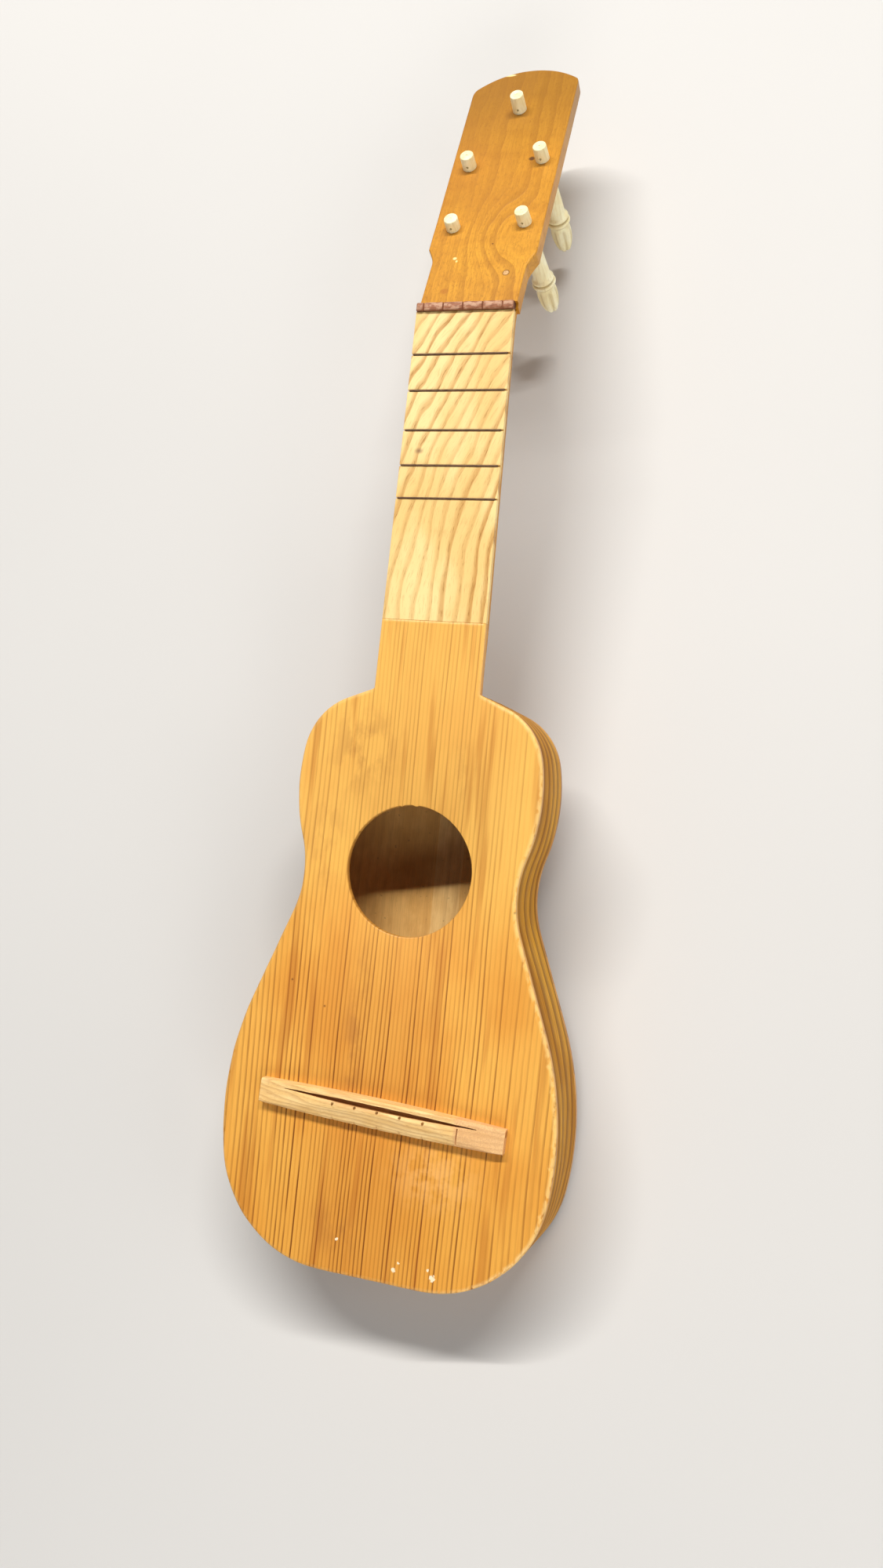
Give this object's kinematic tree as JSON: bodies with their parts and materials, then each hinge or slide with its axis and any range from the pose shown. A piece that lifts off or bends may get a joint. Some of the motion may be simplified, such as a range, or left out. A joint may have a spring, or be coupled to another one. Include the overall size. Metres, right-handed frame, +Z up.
{
  "type": "charango",
  "caption": "Small flat-backed plucked instrument with a waisted wooden body, round soundhole, tie bridge, fretted neck and a tilted flat head with rear friction pegs.",
  "frame": {"origin": "on the table, below the middle of the whole instrument", "axes": "+X to the treble side, +Y from the tail toward the head, +Z up; the instrument lies on its back, resting on its tail and on the knob of its top peg, so its soundboard slopes up toward the head by about 5.9 degrees"},
  "size_m": [0.1614, 0.598, 0.0913],
  "materials": {
    "soundboard_wood": "satin varnish",
    "rib_wood": "satin varnish",
    "back_wood": "satin varnish outside, bare inside",
    "neck_wood": "satin varnish",
    "fretboard_wood": "thin satin varnish",
    "nut_wood": "bare, worn",
    "bridge_wood": "bare, hand cut",
    "peg_wood": "polished",
    "plug_wood": "bare",
    "inner_wood": "bare",
    "fret_metal": "dark, tarnished"
  },
  "bodies": {
    "instrument": {"soundboard": "soundboard_wood", "back_board_left": "back_wood", "back_board_middle": "back_wood", "back_board_right": "back_wood", "rib_right": "rib_wood", "rib_left": "rib_wood", "neck_block": "inner_wood", "tail_block": "inner_wood", "front_lining_right": "inner_wood", "front_lining_left": "inner_wood", "back_lining_right": "inner_wood", "back_lining_left": "inner_wood", "top_brace_upper": "inner_wood", "top_brace_lower": "inner_wood", "back_brace_upper": "inner_wood", "back_brace_middle": "inner_wood", "back_brace_lower": "inner_wood", "bridge_plate": "inner_wood", "fan_strut_left": "inner_wood", "fan_strut_centre": "inner_wood", "fan_strut_right": "inner_wood", "neck": "neck_wood", "fretboard": "fretboard_wood", "fret_1": "fret_metal", "fret_2": "fret_metal", "fret_3": "fret_metal", "fret_4": "fret_metal", "fret_5": "fret_metal", "nut": "nut_wood", "bridge": "bridge_wood", "head_plug": "plug_wood"},
    "peg_top": {"peg_top": "peg_wood"},
    "peg_middle_left": {"peg_middle_left": "peg_wood"},
    "peg_middle_right": {"peg_middle_right": "peg_wood"},
    "peg_lower_left": {"peg_lower_left": "peg_wood"},
    "peg_lower_right": {"peg_lower_right": "peg_wood"}
  },
  "joints": [
    {"name": "peg_top_turn", "type": "hinge", "parent": "instrument", "child": "peg_top", "pos_m": [0.0016, 0.27155, 0.05423], "axis": [0, 0.2769, 0.9609], "continuous": true},
    {"name": "peg_middle_left_turn", "type": "hinge", "parent": "instrument", "child": "peg_middle_left", "pos_m": [-0.0167, 0.23494, 0.06478], "axis": [0, 0.2769, 0.9609], "continuous": true},
    {"name": "peg_middle_right_turn", "type": "hinge", "parent": "instrument", "child": "peg_middle_right", "pos_m": [0.0199, 0.23715, 0.06414], "axis": [-0.0349, 0.2768, 0.9603], "continuous": true},
    {"name": "peg_lower_left_turn", "type": "hinge", "parent": "instrument", "child": "peg_lower_left", "pos_m": [-0.0164, 0.19574, 0.07608], "axis": [0, 0.2769, 0.9609], "continuous": true},
    {"name": "peg_lower_right_turn", "type": "hinge", "parent": "instrument", "child": "peg_lower_right", "pos_m": [0.0189, 0.19708, 0.07569], "axis": [-0.0628, 0.2764, 0.959], "continuous": true}
  ]
}
